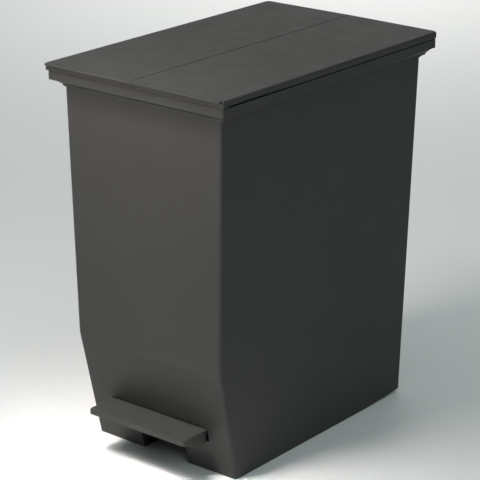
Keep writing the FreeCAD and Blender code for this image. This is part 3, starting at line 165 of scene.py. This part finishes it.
# How much darker or lighter than its own colour a material gets.
CLOUD_DARK, CLOUD_LIGHT = 0.95, 1.05
FLECK_LIGHT = 1.22
WORN_LIGHT = 1.9
SCUFF_LIGHT = 1.7
PLATING_DARK, PLATING_LIGHT = 0.78, 1.1
DUST_LIGHT = 1.9

# How strongly flecks show, how worn the least worn edge is, how far the roughness swings
# either way, and what a mark adds to it.
FLECK_SHARE = 0.35
LEAST_WEAR = 0.2
GLOSS_SWING = 0.035
MARK_GLOSS = -0.05

# Depths are in metres; a strength of 1 is the whole depth.
WAVE_DEPTH, WAVE_STRENGTH = 0.0006, 0.25
GRAIN_STRENGTH = 0.8
LINE_DEPTH, LINE_STRENGTH = 0.00003, 0.6
PIT_DEPTH, PIT_STRENGTH = 0.00006, 0.8
STEEL_EDGE = 0.0003
RUBBER_EDGE = 0.0005
BEVEL_SAMPLES = 4

STEEL_ROUGHNESS = (0.28, 0.46)
RUBBER_ROUGHNESS = (0.72, 0.88)
RUBBER_SPECULAR = 0.35

# Sockets of a mix node that carry colours; its other sockets share their names.
MIX_FIRST, MIX_SECOND, MIX_RESULT = 6, 7, 2

GREY = (0.0425, 0.0418, 0.04)
# The pedal's grey below is lighter and warmer than the bin's grey: painted light, standing in
# for the light that falls on the pedal's top.
PEDAL_GREY_WITH_PAINTED_LIGHT = (0.05, 0.0495, 0.045)
BLACK = (0.022, 0.0222, 0.0225)
PIN_STEEL = (0.56, 0.56, 0.57)
SCREW_STEEL = (0.5, 0.49, 0.47)
RUBBER_BLACK = (0.018, 0.018, 0.018)


class Paint:
    """A material's node tree, with short calls for its nodes."""

    def __init__(self, name):
        self.material = bpy.data.materials.new(name)
        self.material.use_nodes = True
        self.tree = self.material.node_tree
        self.shader = self.tree.nodes["Principled BSDF"]
        self.place = None

    def add(self, kind, inputs=(), **settings):
        """Add a node; inputs maps a socket to a value, or to an output to link from."""
        node = self.tree.nodes.new(kind)
        for key, value in settings.items():
            setattr(node, key, value)
        for key, value in dict(inputs).items():
            socket = node.inputs[key]
            if isinstance(value, bpy.types.NodeSocket):
                self.tree.links.new(value, socket)
            else:
                socket.default_value = value
        return node

    def link(self, output, name):
        """Feed one of the shader's sockets."""
        self.tree.links.new(output, self.shader.inputs[name])

    def where(self, stretch):
        """The place on the object, in metres, stretched along each axis."""
        if self.place is None:
            self.place = self.add("ShaderNodeTexCoord").outputs["Object"]
        if stretch == EVEN:
            return self.place
        scaled = self.add("ShaderNodeMapping", {"Vector": self.place, "Scale": stretch})
        return scaled.outputs["Vector"]

    def noise(self, pattern):
        """One of the patterns of smooth noise, from 0 to 1."""
        scale, detail, roughness, stretch = PATTERNS[pattern]
        values = {
            "Vector": self.where(stretch),
            "Scale": scale,
            "Detail": detail,
            "Roughness": roughness,
        }
        return self.add("ShaderNodeTexNoise", values).outputs["Fac"]

    def spread(self, value, low, high, part=MIDDLE):
        """Move part of a value's range to a new range."""
        values = {
            "Value": value,
            "From Min": part[0],
            "From Max": part[1],
            "To Min": low,
            "To Max": high,
        }
        return self.add("ShaderNodeMapRange", values).outputs["Result"]

    def math(self, operation, first, second):
        """Combine two values."""
        node = self.add("ShaderNodeMath", {0: first, 1: second}, operation=operation)
        return node.outputs["Value"]

    def mix(self, factor, first, second):
        """Mix two colours."""
        values = {"Factor": factor, MIX_FIRST: first, MIX_SECOND: second}
        return self.add("ShaderNodeMix", values, data_type="RGBA").outputs[MIX_RESULT]

    def rounded(self, radius):
        """The surface normal with sharp edges rounded off."""
        node = self.add("ShaderNodeBevel", {"Radius": radius}, samples=BEVEL_SAMPLES)
        return node.outputs["Normal"]

    def edges(self, radius):
        """A mask that is 1 along sharp edges."""
        plain = self.add("ShaderNodeNewGeometry").outputs["Normal"]
        values = {0: plain, 1: self.rounded(radius)}
        same = self.add("ShaderNodeVectorMath", values, operation="DOT_PRODUCT")
        return self.spread(same.outputs["Value"], 1.0, 0.0, EDGE_PART)

    def bump(self, height, depth, strength, normal):
        """Raise a normal by a height map; depth is in metres."""
        values = {"Height": height, "Distance": depth, "Strength": strength, "Normal": normal}
        return self.add("ShaderNodeBump", values).outputs["Normal"]

    def surface(self, base=None, roughness=None, metallic=0.0, specular=0.5):
        """Set what is the same all over the surface."""
        if base is not None:
            self.shader.inputs["Base Color"].default_value = (*base, 1)
        if roughness is not None:
            self.shader.inputs["Roughness"].default_value = roughness
        self.shader.inputs["Metallic"].default_value = metallic
        self.shader.inputs["Specular IOR Level"].default_value = specular


def shade(colour, factor):
    """A colour made lighter or darker."""
    return (*(channel * factor for channel in colour), 1)


def moulded(name, colour, rough, grain=0.00005, wear=0.35, edge=0.0007, scuff=0.0,
            specular=0.2):
    """Moulded plastic: clouded colour, light flecks, fine grain, worn soft edges, streaky marks.

    The grain's depth and the edge's radius are in metres.
    """
    paint = Paint(name)
    paint.surface(specular=specular)
    cloud = paint.spread(paint.noise("cloud"), 0.0, 1.0)
    body = paint.mix(cloud, shade(colour, CLOUD_DARK), shade(colour, CLOUD_LIGHT))
    fleck = paint.spread(paint.noise("fleck"), 0.0, 1.0, FLECK_PART)
    flecked = paint.math("MULTIPLY", fleck, FLECK_SHARE)
    body = paint.mix(flecked, body, shade(colour, FLECK_LIGHT))
    patchy = paint.spread(paint.noise("wear"), LEAST_WEAR, 1.0)
    worn = paint.math("MULTIPLY", paint.edges(edge), patchy)
    body = paint.mix(paint.math("MULTIPLY", worn, wear), body, shade(colour, WORN_LIGHT))
    marks = paint.spread(paint.noise("marks"), 0.0, 1.0, MARK_PART)
    if scuff:
        scuffed = paint.math("MULTIPLY", marks, scuff)
        body = paint.mix(scuffed, body, shade(colour, SCUFF_LIGHT))
    paint.link(body, "Base Color")
    gloss = paint.spread(paint.noise("gloss"), rough - GLOSS_SWING, rough + GLOSS_SWING)
    gloss = paint.math("ADD", gloss, paint.math("MULTIPLY", marks, MARK_GLOSS))
    paint.link(gloss, "Roughness")
    soft = paint.bump(paint.noise("waves"), WAVE_DEPTH, WAVE_STRENGTH, paint.rounded(edge))
    paint.link(paint.bump(paint.noise("grain"), grain, GRAIN_STRENGTH, soft), "Normal")
    return paint.material


def plated_steel(name, colour):
    """Zinc-plated steel: fine drawn lines, patchy dull plating."""
    paint = Paint(name)
    paint.surface(metallic=1.0)
    patch = paint.spread(paint.noise("plating"), 0.0, 1.0)
    plating = paint.mix(patch, shade(colour, PLATING_DARK), shade(colour, PLATING_LIGHT))
    paint.link(plating, "Base Color")
    paint.link(paint.spread(paint.noise("plating_gloss"), *STEEL_ROUGHNESS), "Roughness")
    lines = paint.noise("drawn_lines")
    drawn = paint.bump(lines, LINE_DEPTH, LINE_STRENGTH, paint.rounded(STEEL_EDGE))
    paint.link(drawn, "Normal")
    return paint.material


def rubber(name, colour):
    """Soft rubber: dusty, very matt, finely pitted."""
    paint = Paint(name)
    paint.surface(specular=RUBBER_SPECULAR)
    dust = paint.spread(paint.noise("dust"), 0.0, 1.0, DUST_PART)
    paint.link(paint.mix(dust, shade(colour, 1.0), shade(colour, DUST_LIGHT)), "Base Color")
    paint.link(paint.spread(paint.noise("rubber_gloss"), *RUBBER_ROUGHNESS), "Roughness")
    pitted = paint.bump(
        paint.noise("pits"), PIT_DEPTH, PIT_STRENGTH, paint.rounded(RUBBER_EDGE))
    paint.link(pitted, "Normal")
    return paint.material


def make_materials():
    """One finished material for each of the record's slots."""
    return {
        "bin_plastic": moulded("bin_plastic_look", GREY, rough=0.5, scuff=0.04),
        "frame_plastic": moulded("frame_plastic_look", GREY, rough=0.5, scuff=0.04),
        "lid_plastic": moulded(
            "lid_plastic_look", GREY, rough=0.52, grain=0.00007, scuff=0.04),
        # The pedal's colour holds painted light: it is lighter and warmer than the bin's, so its
        # top looks lit.
        "pedal_plastic": moulded(
            "pedal_plastic_painted_light_look", PEDAL_GREY_WITH_PAINTED_LIGHT, rough=0.46, grain=0.00008, wear=0.6, scuff=0.3),
        "lever_plastic": moulded("lever_plastic_look", BLACK, rough=0.45, wear=0.3),
        "mechanism_plastic": moulded(
            "mechanism_plastic_look", BLACK, rough=0.4, wear=0.3),
        "cap_plastic": moulded(
            "cap_plastic_look", BLACK, rough=0.42, wear=0.3, edge=0.0004),
        "wheel_plastic": moulded(
            "wheel_plastic_look", BLACK, rough=0.5, wear=0.6, scuff=0.4),
        "pin_steel": plated_steel("pin_steel_look", PIN_STEEL),
        "screw_steel": plated_steel("screw_steel_look", SCREW_STEEL),
        "bumper_rubber": rubber("bumper_rubber_look", RUBBER_BLACK),
    }


def dress_nodes(looks):
    """Give every CAD node the material of its slot."""
    for entry in frame["record"]["subparts"]:
        node = nodes[entry["node"]]
        for slot in node.material_slots:
            slot.link = "OBJECT"
            slot.material = looks[entry["material_slot"]]


make_camera()
make_light()
make_floor()
dress_nodes(make_materials())
